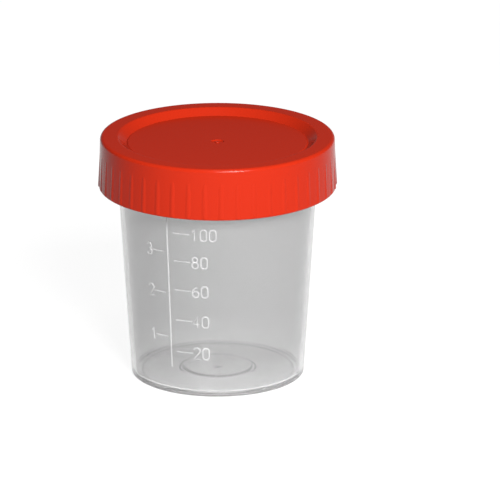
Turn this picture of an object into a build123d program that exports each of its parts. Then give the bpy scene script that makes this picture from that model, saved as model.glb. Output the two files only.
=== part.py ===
"""A screw-top specimen cup: a see-through tapered cup, a ribbed screw cap and a soft sealing ring.

All sizes are in millimetres. The origin is the middle of the circle that the cup stands on, +Z is
up, and the scale faces -Y. The cap is screwed down.
"""

import os
from math import atan, cos, degrees, pi, radians, sin, tan

from build123d import *

os.makedirs("parts", exist_ok=True)

# Cup wall and base
cup_height = 69.9
base_diameter = 51.0
shoulder_diameter = 58.5
wall = 1.3
floor_thickness = 1.3
base_edge_radius = 0.6
inner_corner_radius = 1.5
foot_ring_width = 2.4
foot_ring_height = 0.3
base_dish_diameter = 22.0
base_dish_depth = 0.8
floor_disc_diameter = 20.0
floor_disc_height = 0.5
disc_slope_width = 0.4
gate_nub_diameter = 2.6
gate_nub_height = 0.5

# Neck and rim, which the cap hides
neck_step = 1.5
neck_wall = 1.6
shoulder_lip = 0.2
bore_step_rise = 0.5
rim_edge_radius = 0.4

# Screw thread, two starts on the cup and two in the cap
thread_pitch = 4.0
thread_starts = 2
thread_depth = 1.3
thread_crest_width = 1.2
thread_flank_angle = 30.0
thread_below_rim = 3.0
thread_above_skirt_edge = 0.2
thread_root_bite = 0.5
thread_crest_clearance = 0.45
thread_bore_clearance = 0.55
thread_seat_gap = 0.15

# Cap
skirt_depth = 15.3
cap_wall = 1.9
cap_top_thickness = 1.7
cap_flare = 0.4
cap_edge_radius = 1.0
land_edge_radius = 0.35
skirt_edge_radius = 0.3
panel_thickness = 1.4
panel_sink = 1.8
panel_slope_width = 2.2
rim_land_width = 5.2
panel_groove_width = 0.8
panel_groove_depth = 0.35
plug_depth = 3.4
plug_thickness = 1.2
plug_tip_thickness = 0.8
plug_clearance = 0.1
cap_gate_diameter = 3.8
cap_gate_depth = 0.3
cap_nub_diameter = 1.4
cap_nub_height = 0.2
rib_count = 45
rib_width = 2.2
rib_crest_width = 1.7
rib_height = 0.3
rib_bite = 0.3
rib_start_share = 0.76

# Sealing ring
seal_thickness = 0.9
seal_clearance = 0.2

# Moulded scale
mark_relief = 0.25
mark_bite = 0.3
mark_stroke = 0.48
mark_margin = 1.8
spine_angle = -30.6
spine_bottom = 8.5
spine_top_gap = 1.2
tick_gap_angle = 4.2
tick_length = 5.0
number_angle = -15.6
digit_height = 4.0
digit_width = 2.35
digit_pitch = 2.7
upper_bowl_share = 0.46
ounce_tick_angle = -37.4
ounce_tick_length = 4.0
ounce_number_angle = -46.5
millilitre_marks = (20, 40, 60, 80, 100)
ounce_marks = (1, 2, 3)
millilitres_per_ounce = 28.41

# Cup wall, worked out
base_radius = base_diameter / 2
shoulder_radius = shoulder_diameter / 2
rim_height = cup_height
cap_top = rim_height + seal_thickness + cap_top_thickness
skirt_bottom = cap_top - skirt_depth
wall_slope = (shoulder_radius - base_radius) / skirt_bottom
wall_draft = degrees(atan(wall_slope))
shoulder_bottom = skirt_bottom + shoulder_lip
shoulder_top = shoulder_bottom + neck_step
neck_radius = shoulder_radius + neck_step
neck_bore_radius = neck_radius - neck_wall
inner_floor_radius = base_radius + wall_slope * floor_thickness - wall

# Cap and thread, worked out
thread_crest_radius = neck_radius + thread_depth
cap_crest_radius = neck_radius + thread_crest_clearance
cap_bore_radius = thread_crest_radius + thread_bore_clearance
cap_top_radius = cap_bore_radius + cap_wall
skirt_bottom_radius = cap_top_radius + cap_flare
land_inner_radius = cap_top_radius - rim_land_width
panel_radius = land_inner_radius - panel_slope_width
panel_top = cap_top - panel_sink
panel_underside = panel_top - panel_thickness
seal_underside = rim_height
seal_top = rim_height + seal_thickness
plug_radius = neck_bore_radius - plug_clearance
plug_bottom = rim_height - plug_depth
thread_lead = thread_pitch * thread_starts
flank_slope = tan(radians(thread_flank_angle))
thread_overlap = thread_crest_radius - cap_crest_radius
cap_thread_drop = thread_crest_width + thread_overlap * flank_slope + thread_seat_gap
cap_thread_reach = cap_bore_radius + thread_root_bite - cap_crest_radius
cap_thread_half_root = thread_crest_width / 2 + cap_thread_reach * flank_slope
cap_thread_start = skirt_bottom + thread_above_skirt_edge + cap_thread_half_root
thread_start = cap_thread_start + cap_thread_drop
thread_rise = rim_height - thread_below_rim - thread_start


def outer_radius(height):
    """The cup's outer radius on its tapered wall."""
    return base_radius + wall_slope * height


def liquid_level(volume):
    """The height that a volume in cubic millimetres fills the cup to, measured on its tapered bore."""
    filled_radius = (inner_floor_radius**3 + 3 * wall_slope * volume / pi) ** (1 / 3)
    return floor_thickness + (filled_radius - inner_floor_radius) / wall_slope


def wall_plane(angle, height):
    """A plane on the cup's outer wall that leans with it: x runs round the wall and z points out.
    The angle is measured from the side that faces -Y, and grows towards +X."""
    turn = radians(angle)
    outward = Vector(sin(turn), -cos(turn), 0)
    sideways = Vector(cos(turn), sin(turn), 0)
    lean = radians(wall_draft)
    normal = outward * cos(lean) - Vector(0, 0, 1) * sin(lean)
    origin = outward * outer_radius(height) + Vector(0, 0, height)
    return Plane(origin=origin, x_dir=sideways, z_dir=normal)


def thread_section(root_radius, crest_radius, height):
    """The face of one thread, cut through the cup's axis, at the start of its helix."""
    toward = 1 if crest_radius > root_radius else -1
    buried = root_radius - toward * thread_root_bite
    crest_half = thread_crest_width / 2
    root_half = crest_half + abs(crest_radius - buried) * flank_slope
    with BuildSketch(Plane((0, 0, height), x_dir=(1, 0, 0), z_dir=(0, -1, 0))) as section:
        with BuildLine():
            Polyline(
                (buried, -root_half),
                (crest_radius, -crest_half),
                (crest_radius, crest_half),
                (buried, root_half),
                close=True,
            )
        make_face()
    return section.sketch


def ring(middle, radius):
    """A closed round stroke of a digit."""
    half_stroke = mark_stroke / 2
    with Locations(middle):
        Circle(radius + half_stroke)
        Circle(radius - half_stroke, mode=Mode.SUBTRACT)


def digit_strokes(digit, plane):
    """The strokes of one digit, drawn about the middle of its own cell on a plane."""
    half_width = (digit_width - mark_stroke) / 2
    half_height = (digit_height - mark_stroke) / 2
    upper_bowl = half_height * upper_bowl_share
    lower_bowl = half_height - upper_bowl
    upper_middle = (0, half_height - upper_bowl)
    lower_middle = (0, lower_bowl - half_height)
    with BuildSketch(plane) as strokes:
        if digit == "0":
            SlotOverall(digit_height, digit_width, rotation=90)
            SlotOverall(digit_height - 2 * mark_stroke, digit_width - 2 * mark_stroke, rotation=90, mode=Mode.SUBTRACT)
        if digit == "8":
            ring(upper_middle, upper_bowl)
        if digit in "68":
            ring(lower_middle, lower_bowl)
        with BuildLine():
            if digit == "1":
                Polyline((-half_width * 0.7, half_height * 0.55), (0, half_height), (0, -half_height))
            if digit == "2":
                hook = CenterArc((0, half_height - half_width), half_width, 165, -200)
                Polyline(hook @ 1, (-half_width, -half_height), (half_width, -half_height))
            if digit == "3":
                CenterArc(upper_middle, upper_bowl, 150, -230)
                CenterArc(lower_middle, lower_bowl, 80, -230)
            if digit == "4":
                slant_top = (half_width * 0.4, half_height)
                crossbar = -half_height * 0.4
                Polyline((half_width, crossbar), (-half_width, crossbar), slant_top)
                Line((half_width * 0.4, half_height * 0.9), (half_width * 0.4, -half_height))
            if digit == "6":
                ThreePointArc(
                    (half_width * 0.7, half_height * 0.93),
                    (-half_width * 0.65, half_height * 0.45),
                    (-half_width, lower_bowl - half_height),
                )
        if digit in "12346":
            trace(line_width=mark_stroke)
    return strokes.sketch


def bar(angle, height, width, tall):
    """One straight line of the scale, as a flat face on the wall."""
    with BuildSketch(wall_plane(angle, height)) as face:
        Rectangle(width, tall)
    return face.sketch


def number(text, angle, height):
    """The digits of a number whose left edge stands at the angle, each turned to face straight out."""
    digits = []
    for place, digit in enumerate(text):
        turn = degrees((place * digit_pitch + digit_width / 2) / outer_radius(height))
        digits.append(digit_strokes(digit, wall_plane(angle + turn, height)))
    return digits


# Cup: a revolved shell with a tapered wall, a straight neck and a base that stands on a narrow ring
foot_outer_radius = base_radius - base_edge_radius
foot_inner_radius = foot_outer_radius - foot_ring_width
dish_radius = base_dish_diameter / 2
floor_disc_radius = floor_disc_diameter / 2
bore_step_radius = outer_radius(shoulder_bottom) - wall
with BuildPart() as cup:
    with BuildSketch(Plane.XZ) as cup_outline:
        with BuildLine():
            Polyline(
                (0, base_dish_depth),
                (dish_radius, base_dish_depth),
                (dish_radius + disc_slope_width, foot_ring_height),
                (foot_inner_radius - foot_ring_height, foot_ring_height),
                (foot_inner_radius, 0),
                (base_radius, 0),
                (shoulder_radius, skirt_bottom),
                (shoulder_radius, shoulder_bottom),
                (neck_radius, shoulder_top),
                (neck_radius, rim_height),
                (neck_bore_radius, rim_height),
                (neck_bore_radius, shoulder_top + bore_step_rise),
                (bore_step_radius, shoulder_bottom),
                (inner_floor_radius, floor_thickness),
                (floor_disc_radius + disc_slope_width, floor_thickness),
                (floor_disc_radius, floor_thickness + floor_disc_height),
                (0, floor_thickness + floor_disc_height),
                close=True,
            )
        make_face()
        base_corner = cup_outline.vertices().sort_by_distance((base_radius, 0))[0]
        fillet(base_corner, base_edge_radius)
        floor_corner = cup_outline.vertices().sort_by_distance((inner_floor_radius, floor_thickness))[0]
        fillet(floor_corner, inner_corner_radius)
        rim_corners = cup_outline.vertices().filter_by_position(Axis.Y, rim_height, rim_height)
        fillet(rim_corners, rim_edge_radius)
    revolve(axis=Axis.Z)
    with Locations((0, 0, base_dish_depth)):
        Cylinder(gate_nub_diameter / 2, gate_nub_height, align=(Align.CENTER, Align.CENTER, Align.MAX))

# Cup thread: two equal starts, wound upwards round the neck
with BuildPart() as cup_thread:
    with BuildLine() as cup_helix:
        Helix(thread_lead, thread_rise, neck_radius, center=(0, 0, thread_start))
    cup_section = thread_section(neck_radius, thread_crest_radius, thread_start)
    sweep(cup_section, path=cup_helix.line, is_frenet=True)

# Scale: bars and digits raised a little from the wall, cut to the wall's taper
mark_depth = 2 * (mark_relief + mark_bite)
with BuildPart() as mark_skin:
    with BuildSketch(Plane.XZ):
        with BuildLine():
            Polyline(
                (outer_radius(0) - mark_bite, 0),
                (outer_radius(0) + mark_relief, 0),
                (outer_radius(skirt_bottom) + mark_relief, skirt_bottom),
                (outer_radius(skirt_bottom) - mark_bite, skirt_bottom),
                close=True,
            )
        make_face()
    revolve(axis=Axis.Z)

spine_top = skirt_bottom - spine_top_gap
mark_faces = [bar(spine_angle, (spine_top + spine_bottom) / 2, mark_stroke, spine_top - spine_bottom)]
for millilitres in millilitre_marks:
    level = liquid_level(millilitres * 1000) + mark_margin
    half_turn = degrees(tick_length / 2 / outer_radius(level))
    mark_faces.append(bar(spine_angle + tick_gap_angle + half_turn, level, tick_length, mark_stroke))
    mark_faces += number(str(millilitres), number_angle, level)
for ounces in ounce_marks:
    level = liquid_level(ounces * millilitres_per_ounce * 1000) + mark_margin
    mark_faces.append(bar(ounce_tick_angle, level, ounce_tick_length, mark_stroke))
    mark_faces += number(str(ounces), ounce_number_angle, level)

with BuildPart() as scale_marks:
    for face in mark_faces:
        extrude(face, amount=mark_depth, both=True)
    add(mark_skin.part, mode=Mode.INTERSECT)

with BuildPart() as cup_body:
    add(cup.part)
    with PolarLocations(0, thread_starts):
        add(cup_thread.part)
    add(scale_marks.part)
cup_body.part.label = "cup_body"
export_step(cup_body.part, "parts/cup_body.step")

# Sealing ring: a flat soft washer that lies in the channel between the plug lip and the cap's bore
with BuildPart() as sealing_ring:
    with BuildSketch(Plane.XY.offset(seal_underside)):
        Circle(cap_bore_radius - seal_clearance)
        Circle(plug_radius + seal_clearance, mode=Mode.SUBTRACT)
    extrude(amount=seal_thickness)
sealing_ring.part.label = "sealing_ring"
export_step(sealing_ring.part, "parts/sealing_ring.step")

# Cap shell: a flared skirt, a flat land round the top, a sunken panel and a plug lip under it
groove_middle = panel_radius - panel_groove_width / 2
with BuildPart() as cap_shell:
    with BuildSketch(Plane.XZ) as cap_outline:
        with BuildLine():
            Polyline(
                (0, panel_underside),
                (plug_radius - plug_thickness, panel_underside),
                (plug_radius - plug_tip_thickness, plug_bottom),
                (plug_radius, plug_bottom),
                (plug_radius, seal_top),
                (cap_bore_radius, seal_top),
                (cap_bore_radius, skirt_bottom),
                (skirt_bottom_radius, skirt_bottom),
                (cap_top_radius, cap_top),
                (land_inner_radius, cap_top),
                (panel_radius, panel_top),
                (groove_middle, panel_top - panel_groove_depth),
                (panel_radius - panel_groove_width, panel_top),
                (0, panel_top),
                close=True,
            )
        make_face()
        top_corner = cap_outline.vertices().sort_by_distance((cap_top_radius, cap_top))[0]
        fillet(top_corner, cap_edge_radius)
        land_corner = cap_outline.vertices().sort_by_distance((land_inner_radius, cap_top))[0]
        fillet(land_corner, land_edge_radius)
        skirt_corner = cap_outline.vertices().sort_by_distance((skirt_bottom_radius, skirt_bottom))[0]
        fillet(skirt_corner, skirt_edge_radius)
    revolve(axis=Axis.Z)
    with Locations((0, 0, panel_top)):
        Cylinder(
            cap_gate_diameter / 2,
            cap_gate_depth,
            align=(Align.CENTER, Align.CENTER, Align.MAX),
            mode=Mode.SUBTRACT,
        )
    with Locations((0, 0, panel_top - cap_gate_depth)):
        Cylinder(
            cap_nub_diameter / 2,
            cap_nub_height,
            align=(Align.CENTER, Align.CENTER, Align.MIN),
        )

# Grip ribs: long wedges that grow out of the skirt towards its bottom edge, with leaning sides
rib_top = skirt_bottom + skirt_depth * rib_start_share
rib_top_radius = cap_top_radius + cap_flare * (1 - rib_start_share)
rib_foot = skirt_bottom + skirt_edge_radius
rib_crest_radius = skirt_bottom_radius + rib_height
side_lean = (rib_width - rib_crest_width) / 2
with BuildPart() as grip_rib:
    with BuildSketch(Plane.XZ):
        with BuildLine():
            Polyline(
                (skirt_bottom_radius - rib_bite, rib_foot),
                (rib_crest_radius, rib_foot),
                (rib_top_radius, rib_top),
                (rib_top_radius - rib_bite, rib_top),
                close=True,
            )
        make_face()
    extrude(amount=rib_width / 2, both=True)
    crest_edges = grip_rib.faces().sort_by(Axis.X)[-1].edges().filter_by(Axis.Y, reverse=True)
    chamfer(crest_edges, side_lean)

# Cap thread: the same helix as the cup's, so much lower that its upper flank nearly meets the cup's
with BuildPart() as cap_thread:
    with BuildLine() as cap_helix:
        Helix(thread_lead, thread_rise, cap_bore_radius, center=(0, 0, cap_thread_start))
    cap_section = thread_section(cap_bore_radius, cap_crest_radius, cap_thread_start)
    sweep(cap_section, path=cap_helix.line, is_frenet=True)

with BuildPart() as screw_cap:
    add(cap_shell.part)
    with PolarLocations(0, rib_count):
        add(grip_rib.part)
    with PolarLocations(0, thread_starts):
        add(cap_thread.part)
screw_cap.part.label = "screw_cap"
export_step(screw_cap.part, "parts/screw_cap.step")

print("cap diameter over the ribs", round(2 * (skirt_bottom_radius + rib_height), 2))
print("overall height", round(cap_top, 2))
print("thread lead", thread_lead, "lift per radian in metres", thread_lead / 1000 / (2 * pi))
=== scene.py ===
import math

import bmesh
import bpy
from mathutils import Matrix, Vector


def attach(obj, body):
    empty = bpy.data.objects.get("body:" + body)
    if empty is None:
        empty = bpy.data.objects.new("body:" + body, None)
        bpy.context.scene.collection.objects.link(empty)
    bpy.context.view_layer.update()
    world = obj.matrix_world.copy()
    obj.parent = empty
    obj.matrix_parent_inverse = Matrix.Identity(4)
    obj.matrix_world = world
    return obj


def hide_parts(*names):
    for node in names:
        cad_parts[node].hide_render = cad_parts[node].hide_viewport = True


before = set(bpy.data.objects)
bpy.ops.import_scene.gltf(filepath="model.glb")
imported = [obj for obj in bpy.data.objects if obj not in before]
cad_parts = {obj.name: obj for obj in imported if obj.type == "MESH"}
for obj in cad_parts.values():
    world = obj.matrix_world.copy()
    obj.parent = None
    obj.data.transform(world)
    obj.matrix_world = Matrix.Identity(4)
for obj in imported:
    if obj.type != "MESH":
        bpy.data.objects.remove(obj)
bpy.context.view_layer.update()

# The cup: one injection moulding in clear polypropylene, a tapered shell whose neck steps out to carry
# a two-start thread. It stands on a narrow ring round its base and has the gate's nub underneath.
# Sizes are in millimetres, and heights are above the surface that the cup stands on.
MM = 0.001
weld_distance = 0.001
cup_steps = 240
neck_rows = 52
wall = 1.3
base_radius = 25.5
foot_inner_radius = 22.5
foot_height = 0.3
dish_radius = 11.0
dish_height = 0.8
gate_nub_radius = 1.3
gate_nub_height = 0.5
floor_height = 1.3
disc_radius = 10.0
disc_height = 0.5
disc_slope_width = 0.4
skirt_bottom = 57.2
shoulder_radius = 29.25
shoulder_bottom = 57.4
shoulder_top = 58.9
neck_radius = 30.75
neck_bore_radius = 29.15
neck_bore_bottom = 59.4
rim_height = 69.9
wall_slope = (shoulder_radius - base_radius) / skirt_bottom
thread_lead = 8.0
thread_rise = 5.96
thread_crest_width = 1.2
thread_flank = math.tan(math.radians(30))
thread_run_out = math.radians(7)
cup_thread_start = 60.94
cup_thread_depth = 1.3
gloss_spread = 0.25
ripple_strength = 0.15
ripple_height = 0.05


def wall_radius(height):
    """The radius of the cup's outside at a height, up to the shoulder."""
    return base_radius + wall_slope * height


def outline(bm, corners):
    """A chain of edges through corners, each a radius, a height and the setback of its rounding."""
    verts = [bm.verts.new((radius, 0, height)) for radius, height, setback in corners]
    for start, end in zip(verts, verts[1:]):
        bm.edges.new((start, end))
    for vert, (radius, height, setback) in zip(verts, corners):
        if setback:
            bmesh.ops.bevel(bm, geom=[vert], offset=setback, offset_type="OFFSET", segments=5, profile=0.5,
                            affect="VERTICES", material=-1)


def turn_round(bm, steps):
    """Spins the outline about the upright axis into a closed skin whose faces point outwards."""
    bmesh.ops.spin(bm, geom=bm.verts[:] + bm.edges[:], cent=(0, 0, 0), axis=(0, 0, 1), angle=math.tau,
                   steps=steps, use_merge=True, use_duplicate=False)
    bmesh.ops.remove_doubles(bm, verts=bm.verts, dist=weld_distance)
    bmesh.ops.recalc_face_normals(bm, faces=bm.faces)


def piece(bm, name, material, body, sharp_angle=35):
    """Makes the finished mesh an object in metres, smooth but for its sharp edges, that rides on a body."""
    bmesh.ops.scale(bm, vec=(MM, MM, MM), verts=bm.verts)
    for edge in bm.edges:
        edge.smooth = edge.is_manifold and edge.calc_face_angle() < math.radians(sharp_angle)
    for face in bm.faces:
        face.smooth = True
    mesh = bpy.data.meshes.new(name)
    bm.to_mesh(mesh)
    bm.free()
    mesh.materials.append(material)
    made = bpy.data.objects.new(name, mesh)
    bpy.context.collection.objects.link(made)
    weighted = made.modifiers.new("weighted normals", "WEIGHTED_NORMAL")
    weighted.keep_sharp = True
    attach(made, body)
    return made


def grey(value):
    """A neutral colour, from 0, black, to 1, white."""
    return (value, value, value, 1)


def plastic(name, colour, roughness, grain, ripple, **sockets):
    """A moulded plastic: a fine grain in its gloss and a faint ripple in its skin, on Object coordinates."""
    material = bpy.data.materials.new(name)
    material.use_nodes = True
    nodes = material.node_tree.nodes
    links = material.node_tree.links
    shader = nodes["Principled BSDF"]
    shader.inputs["Base Color"].default_value = colour
    for socket, value in sockets.items():
        shader.inputs[socket.replace("_", " ")].default_value = value
    place = nodes.new("ShaderNodeTexCoord")
    fine = nodes.new("ShaderNodeTexNoise")
    fine.inputs["Scale"].default_value = 1 / (grain * MM)
    fine.inputs["Detail"].default_value = 3
    gloss = nodes.new("ShaderNodeMapRange")
    gloss.inputs["To Min"].default_value = roughness * (1 - gloss_spread)
    gloss.inputs["To Max"].default_value = roughness * (1 + gloss_spread)
    wave = nodes.new("ShaderNodeTexNoise")
    wave.inputs["Scale"].default_value = 1 / (ripple * MM)
    wave.inputs["Detail"].default_value = 1
    bump = nodes.new("ShaderNodeBump")
    bump.inputs["Strength"].default_value = ripple_strength
    bump.inputs["Distance"].default_value = ripple_height * MM
    links.new(place.outputs["Object"], fine.inputs["Vector"])
    links.new(place.outputs["Object"], wave.inputs["Vector"])
    links.new(fine.outputs["Fac"], gloss.inputs["Value"])
    links.new(gloss.outputs["Result"], shader.inputs["Roughness"])
    links.new(wave.outputs["Fac"], bump.inputs["Height"])
    links.new(bump.outputs["Normal"], shader.inputs["Normal"])
    return material


def thread_relief(angle, height):
    """How far the cup's thread stands out of the neck at an angle and a height."""
    relief = 0
    whole_turn = math.tau * thread_rise / thread_lead
    for start in (0, math.pi):
        along = (angle - start) % math.tau
        if along < whole_turn:
            middle = cup_thread_start + along / math.tau * thread_lead
            off_crest = abs(height - middle) - thread_crest_width / 2
            stand = cup_thread_depth - max(off_crest, 0) / thread_flank
            run_out = min(along, whole_turn - along, thread_run_out) / thread_run_out
            relief = max(relief, stand * run_out)
    return relief


# The plastic's tint runs softly with height: the long wall is greyer than the base and the neck. The wall's
# deeper grey is painted shade that stands in for darker surroundings seen in it. Its rise to the lighter
# neck tint just under the cap is painted light that cancels the shadow the cap casts on the wall.
base_tint = 0.79
wall_tint_and_painted_shade = 0.59
neck_tint_and_painted_light = 0.70
painted_shade_bottom = 11.9
painted_light_bottom = 52.8
painted_light_top = 57.3

clear_plastic = plastic("clear_polypropylene", grey(neck_tint_and_painted_light), roughness=0.05, grain=0.8, ripple=9,
                        Transmission_Weight=0.9, IOR=1.49)
clear_nodes = clear_plastic.node_tree.nodes
clear_links = clear_plastic.node_tree.links
upright = clear_nodes.new("ShaderNodeSeparateXYZ")
rise = clear_nodes.new("ShaderNodeMapRange")
rise.inputs["From Max"].default_value = rim_height * MM
# This ramp paints shade into the wall, and light into the wall's top where the cap's shadow falls.
tint_and_painted_light = clear_nodes.new("ShaderNodeValToRGB")
bands = tint_and_painted_light.color_ramp.elements
bands[0].color = grey(base_tint)
bands[1].color = grey(neck_tint_and_painted_light)
bands[1].position = painted_light_top / rim_height
bands.new(painted_shade_bottom / rim_height).color = grey(wall_tint_and_painted_shade)
bands.new(painted_light_bottom / rim_height).color = grey(wall_tint_and_painted_shade)
clear_links.new(clear_nodes["Texture Coordinate"].outputs["Object"], upright.inputs["Vector"])
clear_links.new(upright.outputs["Z"], rise.inputs["Value"])
clear_links.new(rise.outputs["Result"], tint_and_painted_light.inputs["Fac"])
clear_links.new(tint_and_painted_light.outputs["Color"], clear_nodes["Principled BSDF"].inputs["Base Color"])

bm = bmesh.new()
outline(bm, [
    (0, dish_height - gate_nub_height, 0),
    (gate_nub_radius, dish_height - gate_nub_height, 0.1),
    (gate_nub_radius, dish_height, 0),
    (dish_radius, dish_height, 0.12),
    (dish_radius + disc_slope_width, foot_height, 0.12),
    (foot_inner_radius - foot_height, foot_height, 0.1),
    (foot_inner_radius, 0, 0.1),
    (base_radius, 0, 0.6),
    (shoulder_radius, skirt_bottom, 0),
    (shoulder_radius, shoulder_bottom, 0),
    (neck_radius, shoulder_top, 0.3),
    (neck_radius, rim_height, 0.4),
    (neck_bore_radius, rim_height, 0.4),
    (neck_bore_radius, neck_bore_bottom, 0.3),
    (wall_radius(shoulder_bottom) - wall, shoulder_bottom, 0.3),
    (wall_radius(floor_height) - wall, floor_height, 1.0),
    (disc_radius + disc_slope_width, floor_height, 0.15),
    (disc_radius, floor_height + disc_height, 0.15),
    (0, floor_height + disc_height, 0),
])
on_neck = [vert for vert in bm.verts if abs(vert.co.x - neck_radius) < weld_distance]
neck_edges = [edge for edge in bm.edges if all(vert in on_neck for vert in edge.verts)]
bmesh.ops.subdivide_edges(bm, edges=neck_edges, cuts=neck_rows)
turn_round(bm, cup_steps)
for vert in bm.verts:
    radius = math.hypot(vert.co.x, vert.co.y)
    if abs(radius - neck_radius) < weld_distance:
        stretch = 1 + thread_relief(math.atan2(vert.co.y, vert.co.x), vert.co.z) / radius
        vert.co.x *= stretch
        vert.co.y *= stretch
cup_shell = piece(bm, "cup_shell", clear_plastic, "cup")
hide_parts("cup_body")

# The scale: lines and numbers raised from the cup's wall, moulded with it by grooves that a small round
# cutter left in the mould, so each stroke is a low rounded bead. Numbers are millilitres, then fluid ounces.
stroke_width = 0.48
stroke_sunk = 0.08
digit_width = 2.35
digit_height = 4.0
digit_pitch = 2.7
number_angle = -15.6
tick_angle = -26.4
tick_length = 5.0
ounce_tick_angle = -37.4
ounce_tick_length = 4.0
ounce_number_angle = -46.5
spine_angle = -30.6
spine_bottom = 8.5
spine_top = 56.0
spine_steps = 12
imperial_ounce = 28.41
mark_lift = 1.8


def arc(middle, radius, start, sweep, points=16):
    """Points along an arc, with its angles in degrees."""
    steps = [math.radians(start + sweep * step / points) for step in range(points + 1)]
    return [(middle[0] + radius * math.cos(turn), middle[1] + radius * math.sin(turn)) for turn in steps]


def digit_strokes(digit):
    """The centre lines of one digit's strokes, about the middle of its cell."""
    across = (digit_width - stroke_width) / 2
    up = (digit_height - stroke_width) / 2
    top_bend = arc((0, up - across), across, 0, 180)
    bottom_bend = arc((0, across - up), across, 180, 180)
    upper_radius = up * 0.46
    lower_radius = up * 0.54
    upper = (0, up - upper_radius)
    lower = (0, lower_radius - up)
    return {
        "0": [top_bend + bottom_bend + top_bend[:1]],
        "1": [[(-across * 0.7, up * 0.55), (0, up), (0, -up)]],
        "2": [arc((0, up - across), across, 165, -200) + [(-across, -up), (across, -up)]],
        "3": [arc(upper, upper_radius, 150, -230), arc(lower, lower_radius, 80, -230)],
        "4": [[(across, -up * 0.4), (-across, -up * 0.4), (across * 0.4, up), (across * 0.4, -up)]],
        "6": [arc(lower, lower_radius, 0, 360), arc((across * 0.85, -up * 0.2), across * 1.85, 195, -95)],
        "8": [arc(upper, upper_radius, 0, 360), arc(lower, lower_radius, 0, 360)],
    }[digit]


def liquid_level(millilitres):
    """The height that the liquid stands to, in the cup's tapered bore."""
    floor_radius = wall_radius(floor_height) - wall
    filled = (floor_radius**3 + 3 * wall_slope * millilitres * 1000 / math.pi) ** (1 / 3)
    return floor_height + (filled - floor_radius) / wall_slope


def raised_mark(name, strokes, angle, height):
    """Beads along strokes drawn flat, then wrapped onto the cup's wall about an angle and a height."""
    drawing = bpy.data.curves.new(name, "CURVE")
    drawing.dimensions = "3D"
    drawing.bevel_depth = stroke_width / 2
    drawing.bevel_resolution = 2
    drawing.use_fill_caps = True
    for stroke in strokes:
        line = drawing.splines.new("POLY")
        line.points.add(len(stroke) - 1)
        for point, (across, up) in zip(line.points, stroke):
            point.co = (across, up, 0, 1)
    flat = bpy.data.objects.new(name, drawing)
    bm = bmesh.new()
    bm.from_mesh(bpy.data.meshes.new_from_object(flat))
    bpy.data.objects.remove(flat)
    bmesh.ops.remove_doubles(bm, verts=bm.verts, dist=weld_distance)
    for vert in bm.verts:
        across, up, out = vert.co
        level = height + up
        turn = math.radians(angle) + across / wall_radius(height)
        radius = wall_radius(level) + out - stroke_sunk
        vert.co = (radius * math.sin(turn), -radius * math.cos(turn), level)
    bmesh.ops.recalc_face_normals(bm, faces=bm.faces)
    piece(bm, name, mark_plastic, "cup")


def number(name, text, angle, height):
    """The digits of a number whose left edge stands at the angle."""
    strokes = []
    for cell, digit in enumerate(text):
        middle = digit_width / 2 + cell * digit_pitch
        strokes += [[(across + middle, up) for across, up in stroke] for stroke in digit_strokes(digit)]
    raised_mark(name, strokes, angle, height)


def bar(name, angle, height, length):
    """A level line of the scale, about its middle."""
    raised_mark(name, [[(-length / 2, 0), (length / 2, 0)]], angle, height)


mark_plastic = plastic("clear_polypropylene_marks", grey(0.50), roughness=0.3, grain=0.3, ripple=4,
                       Alpha=0.39)
spine_middle = (spine_bottom + spine_top) / 2
spine_length = spine_top - spine_bottom
spine_points = [(0, spine_length * (step / spine_steps - 0.5)) for step in range(spine_steps + 1)]
raised_mark("scale_spine", [spine_points], spine_angle, spine_middle)
for millilitres in (20, 40, 60, 80, 100):
    level = liquid_level(millilitres) + mark_lift
    line_middle = tick_angle + math.degrees(tick_length / 2 / wall_radius(level))
    bar(f"millilitre_line_{millilitres}", line_middle, level, tick_length)
    number(f"millilitre_number_{millilitres}", str(millilitres), number_angle, level)
for ounces in (1, 2, 3):
    level = liquid_level(ounces * imperial_ounce) + mark_lift
    bar(f"ounce_line_{ounces}", ounce_tick_angle, level, ounce_tick_length)
    number(f"ounce_number_{ounces}", str(ounces), ounce_number_angle, level)

# The sealing ring: a soft off-white washer that lies in the channel under the cap's top, where the
# cup's rim presses into it. Its edges are rounded and its skin is matt.
seal_steps = 160
seal_inner_radius = 29.25
seal_outer_radius = 32.4
seal_top = 70.8
seal_setback = 0.15

bm = bmesh.new()
seal_half_way = (seal_inner_radius, (rim_height + seal_top) / 2, 0)
outline(bm, [
    seal_half_way,
    (seal_inner_radius, rim_height, seal_setback),
    (seal_outer_radius, rim_height, seal_setback),
    (seal_outer_radius, seal_top, seal_setback),
    (seal_inner_radius, seal_top, seal_setback),
    seal_half_way,
])
bmesh.ops.remove_doubles(bm, verts=bm.verts, dist=weld_distance)
turn_round(bm, seal_steps)
soft_rubber = plastic("soft_seal", (0.80, 0.80, 0.76, 1), roughness=0.6, grain=0.5, ripple=3)
seal_ring = piece(bm, "seal_ring", soft_rubber, "seal")
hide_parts("sealing_ring")

# The screw cap: one injection moulding in red polypropylene. A flat land runs round its sunken panel,
# whose middle has the gate's dimple, and its underside has the plug lip that fits the cup's bore.
cap_steps = 270
cap_top = 72.5
skirt_top_radius = 34.5
skirt_bottom_radius = 34.9
cap_bore_radius = 32.6
land_inner_radius = 29.3
panel_radius = 27.1
panel_top = 70.7
panel_underside = 69.3
groove_radius = 26.7
groove_half_width = 0.4
groove_depth = 0.35
dimple_radius = 1.9
dimple_depth = 0.3
pip_radius = 0.7
pip_height = 0.2
plug_radius = 29.05
plug_tip_radius = 28.25
plug_root_radius = 27.85
plug_bottom = 66.5

red_plastic = plastic("red_polypropylene", (0.225, 0.0102, 0.0028, 1), roughness=0.2, grain=0.35, ripple=7,
                      Specular_IOR_Level=0.065)

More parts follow.
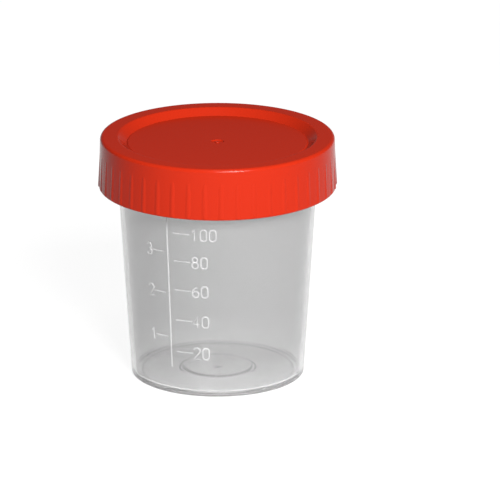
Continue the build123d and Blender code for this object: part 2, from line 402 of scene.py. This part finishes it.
bm = bmesh.new()
outline(bm, [
    (0, panel_top - dimple_depth + pip_height, 0),
    (pip_radius, panel_top - dimple_depth + pip_height, 0.1),
    (pip_radius, panel_top - dimple_depth, 0),
    (dimple_radius, panel_top - dimple_depth, 0.1),
    (dimple_radius, panel_top, 0.08),
    (groove_radius - groove_half_width, panel_top, 0.15),
    (groove_radius, panel_top - groove_depth, 0.08),
    (panel_radius, panel_top, 0.1),
    (land_inner_radius, cap_top, 0.3),
    (skirt_top_radius, cap_top, 1.0),
    (skirt_bottom_radius, skirt_bottom, 0.3),
    (cap_bore_radius, skirt_bottom, 0.3),
    (cap_bore_radius, seal_top, 0.2),
    (plug_radius, seal_top, 0.2),
    (plug_radius, plug_bottom, 0.35),
    (plug_tip_radius, plug_bottom, 0.35),
    (plug_root_radius, panel_underside, 0.5),
    (0, panel_underside, 0),
])
turn_round(bm, cap_steps)
cap_shell = piece(bm, "cap_shell", red_plastic, "cap")
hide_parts("screw_cap")

# The cap's thread: two ridges on the skirt's bore, wound upwards to catch under the cup's thread.
# They are part of the cap's moulding, and their ends are cut square.
cap_thread_steps = 120
cap_thread_start = 59.10
cap_thread_crest_radius = 31.2
cap_thread_bite = 0.3
cap_thread_root_radius = cap_bore_radius + cap_thread_bite
crest_half = thread_crest_width / 2
root_half = crest_half + (cap_thread_root_radius - cap_thread_crest_radius) * thread_flank

bm = bmesh.new()
section = [
    bm.verts.new((cap_thread_root_radius, 0, cap_thread_start - root_half)),
    bm.verts.new((cap_thread_crest_radius, 0, cap_thread_start - crest_half)),
    bm.verts.new((cap_thread_crest_radius, 0, cap_thread_start + crest_half)),
    bm.verts.new((cap_thread_root_radius, 0, cap_thread_start + root_half)),
]
face = bm.faces.new(section)
bmesh.ops.spin(bm, geom=[face] + face.edges[:] + section, cent=(0, 0, 0), axis=(0, 0, 1),
               dvec=(0, 0, thread_rise / cap_thread_steps), angle=math.tau * thread_rise / thread_lead,
               steps=cap_thread_steps, use_duplicate=False)
bmesh.ops.remove_doubles(bm, verts=bm.verts, dist=weld_distance)
second = bmesh.ops.duplicate(bm, geom=bm.verts[:] + bm.edges[:] + bm.faces[:])["geom"]
bmesh.ops.rotate(bm, cent=(0, 0, 0), matrix=Matrix.Rotation(math.pi, 3, "Z"),
                 verts=[part for part in second if isinstance(part, bmesh.types.BMVert)])
bmesh.ops.recalc_face_normals(bm, faces=bm.faces)
piece(bm, "cap_thread", red_plastic, "cap")

# The cap's grip: 45 long ribs moulded on the skirt, which grow out of it towards the bottom edge, where
# their ends are rounded. Their sides run softly into the skirt, as a polished mould leaves them.
rib_count = 45
rib_width = 2.2
rib_facets = 12
rib_bottom = 57.5
rib_full = 57.9
rib_top = 68.83
rib_crest_radius = 35.2
rib_end_setback = 0.25
rib_bite = 0.3
rib_foot_depth = 0.02


def skirt_radius(height):
    """The radius of the flared skirt's outside at a height."""
    flare = (skirt_top_radius - skirt_bottom_radius) / (cap_top - skirt_bottom)
    return skirt_bottom_radius + flare * (height - skirt_bottom)


bm = bmesh.new()
bmesh.ops.create_grid(bm, x_segments=rib_facets, y_segments=2, size=0.5)
extruded = bmesh.ops.extrude_face_region(bm, geom=bm.faces[:], use_keep_orig=True)["geom"]
buried = {part for part in extruded if isinstance(part, bmesh.types.BMVert)}
rib_relief = rib_crest_radius - skirt_radius(rib_full) + rib_foot_depth
# The grid's three rows, from the bottom up: the height of each and how far it stands out.
rib_rows = {-1: (rib_bottom, rib_relief - rib_end_setback), 0: (rib_full, rib_relief), 1: (rib_top, 0)}
for vert in bm.verts:
    height, relief = rib_rows[round(vert.co.y * 2)]
    side = vert.co.x * rib_width
    foot = skirt_radius(height) - rib_foot_depth
    swell = math.cos(math.pi * side / rib_width) ** 2
    reach = foot - rib_bite if vert in buried else math.sqrt(foot**2 - side**2) + relief * swell
    vert.co = (reach, side, height)
bmesh.ops.spin(bm, geom=bm.verts[:] + bm.edges[:] + bm.faces[:], cent=(0, 0, 0), axis=(0, 0, 1),
               angle=math.tau * (rib_count - 1) / rib_count, steps=rib_count - 1, use_duplicate=True)
bmesh.ops.recalc_face_normals(bm, faces=bm.faces)
piece(bm, "grip_ribs", red_plastic, "cap")

# The studio: a pale floor that reaches past the view, one broad lamp in front and to the right, a weaker
# one above, and pale surroundings. The camera looks down from in front with a long lens.
floor_reach = 6
floor_gap = 0.05
horizon_light = 0.3
overhead_light = 0.08
overhead_from = 0.3
light_bounces = 32
camera_lens = 515
camera_sensor = 36
camera_distance = 2.112
camera_elevation = math.radians(17.77)
object_middle = Vector((0, 0, 36.25 * MM))
camera_right = 9.57
camera_up = 0.9

bm = bmesh.new()
bmesh.ops.create_grid(bm, x_segments=1, y_segments=1, size=floor_reach)
bmesh.ops.translate(bm, vec=(0, 0, -floor_gap * MM), verts=bm.verts)
floor_mesh = bpy.data.meshes.new("floor")
bm.to_mesh(floor_mesh)
bm.free()
floor = bpy.data.objects.new("floor", floor_mesh)
bpy.context.collection.objects.link(floor)
paper = bpy.data.materials.new("pale_paper")
paper.use_nodes = True
paper_shader = paper.node_tree.nodes["Principled BSDF"]
paper_shader.inputs["Base Color"].default_value = grey(0.065)
paper_shader.inputs["Roughness"].default_value = 0.9
paper_shader.inputs["Emission Color"].default_value = grey(1)
paper_shader.inputs["Emission Strength"].default_value = 0.93
floor_mesh.materials.append(paper)


def lamp(name, place, aim, width, height, power):
    """A soft rectangular lamp that faces a point, in metres and watts."""
    light = bpy.data.lights.new(name, "AREA")
    light.shape = "RECTANGLE"
    light.size = width
    light.size_y = height
    light.energy = power
    made = bpy.data.objects.new(name, light)
    bpy.context.collection.objects.link(made)
    made.location = place
    made.rotation_euler = (Vector(aim) - Vector(place)).to_track_quat("-Z", "Y").to_euler()


lamp("front_lamp", place=(0.26, -0.86, 0.573), aim=(0, 0, 0.04), width=0.35, height=0.35, power=37)
lamp("top_lamp", place=(0.05, -0.35, 1.0), aim=(0, 0, 0.04), width=0.35, height=0.2, power=3.5)

room = bpy.data.worlds.new("pale_room")
room.use_nodes = True
room_nodes = room.node_tree.nodes
room_links = room.node_tree.links
direction = room_nodes.new("ShaderNodeTexCoord")
upward = room_nodes.new("ShaderNodeSeparateXYZ")
dimming = room_nodes.new("ShaderNodeMapRange")
dimming.interpolation_type = "SMOOTHSTEP"
dimming.inputs["From Max"].default_value = overhead_from
dimming.inputs["To Min"].default_value = horizon_light
dimming.inputs["To Max"].default_value = overhead_light
room_links.new(direction.outputs["Generated"], upward.inputs["Vector"])
room_links.new(upward.outputs["Z"], dimming.inputs["Value"])
room_links.new(dimming.outputs["Result"], room_nodes["Background"].inputs["Strength"])
room_nodes["Background"].inputs["Color"].default_value = grey(1)
bpy.context.scene.world = room
bpy.context.scene.view_settings.view_transform = "Standard"
bpy.context.scene.cycles.max_bounces = light_bounces
bpy.context.scene.cycles.transmission_bounces = light_bounces
bpy.context.scene.cycles.glossy_bounces = light_bounces

camera_data = bpy.data.cameras.new("camera")
camera_data.lens = camera_lens
camera_data.sensor_width = camera_sensor
camera = bpy.data.objects.new("camera", camera_data)
bpy.context.collection.objects.link(camera)
away = Vector((0, -math.cos(camera_elevation), math.sin(camera_elevation)))
camera.rotation_euler = away.to_track_quat("Z", "Y").to_euler()
aside = camera.rotation_euler.to_matrix() @ Vector((camera_right * MM, camera_up * MM, 0))
camera.location = object_middle + away * camera_distance + aside
bpy.context.scene.camera = camera
